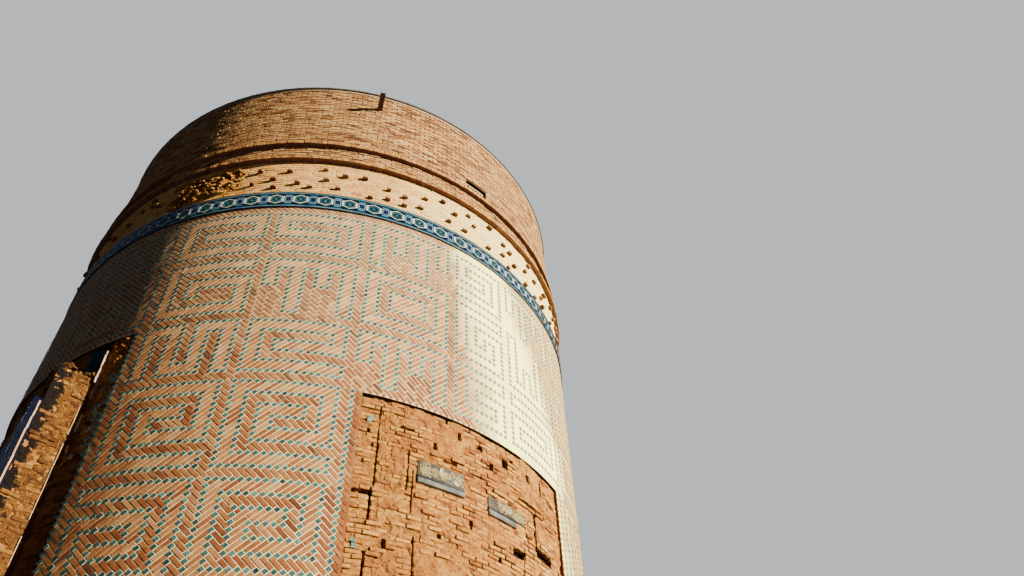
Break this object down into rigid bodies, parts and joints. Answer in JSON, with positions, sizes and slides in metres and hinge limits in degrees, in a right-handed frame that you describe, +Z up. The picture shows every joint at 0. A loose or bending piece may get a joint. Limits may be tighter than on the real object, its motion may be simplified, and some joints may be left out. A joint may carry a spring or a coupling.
{
  "type": "round brick mausoleum tower",
  "caption": "Round brick tomb tower with glazed fret facing, tile band, stripped belt, corbelled upper drum, arched portals and shallow side panels on a low plinth.",
  "frame": {"origin": "on the ground, at the tower's axis", "axes": "+Z up; the portals face -Y and +Y; the side panels face +X and -X"},
  "size_m": [10.18, 11.0606, 17.78],
  "materials": {
    "facing_brick": "fired brick with glazed squares",
    "core_brick": "rough weathered brick",
    "plain_brick": "plain brick courses",
    "glazed_tile": "gloss glaze",
    "plinth_stone": "dressed limestone",
    "floor_brick": "worn paving brick",
    "roof_sheet": "weathered sheet",
    "spout_sheet": "rusted",
    "grille_iron": "weathered"
  },
  "bodies": {
    "root": {"plinth": "plinth_stone", "floor": "floor_brick", "door_step_south": "plinth_stone", "door_step_north": "plinth_stone", "drum_wall_northeast": "facing_brick", "drum_wall_northwest": "facing_brick", "drum_wall_southwest": "facing_brick", "drum_wall_southeast": "facing_brick", "side_panel_east": "core_brick", "side_panel_west": "core_brick", "wall_over_panel_east": "facing_brick", "wall_over_panel_west": "facing_brick", "portal_wall_south_left": "core_brick", "portal_wall_south_right": "core_brick", "portal_wall_south_over": "core_brick", "wall_over_portal_south": "facing_brick", "portal_pier_south_left": "core_brick", "portal_pier_south_right": "core_brick", "portal_front_south": "core_brick", "portal_facing_south": "glazed_tile", "portal_wall_north_left": "core_brick", "portal_wall_north_right": "core_brick", "portal_wall_north_over": "core_brick", "wall_over_portal_north": "facing_brick", "portal_pier_north_left": "core_brick", "portal_pier_north_right": "core_brick", "portal_front_north": "core_brick", "portal_facing_north": "glazed_tile", "tile_band": "glazed_tile", "belt_wall_east": "plain_brick", "belt_wall_north": "plain_brick", "belt_wall_west": "plain_brick", "belt_wall_south": "plain_brick", "corbel_courses_east": "plain_brick", "corbel_courses_north": "plain_brick", "corbel_courses_west": "plain_brick", "corbel_courses_south": "plain_brick", "upper_drum_east": "plain_brick", "upper_drum_north": "plain_brick", "upper_drum_west": "plain_brick", "upper_drum_south": "plain_brick", "roof_spout": "spout_sheet", "vent_grille_east": "grille_iron", "vent_grille_west": "grille_iron", "roof": "roof_sheet"}
  },
  "joints": []
}
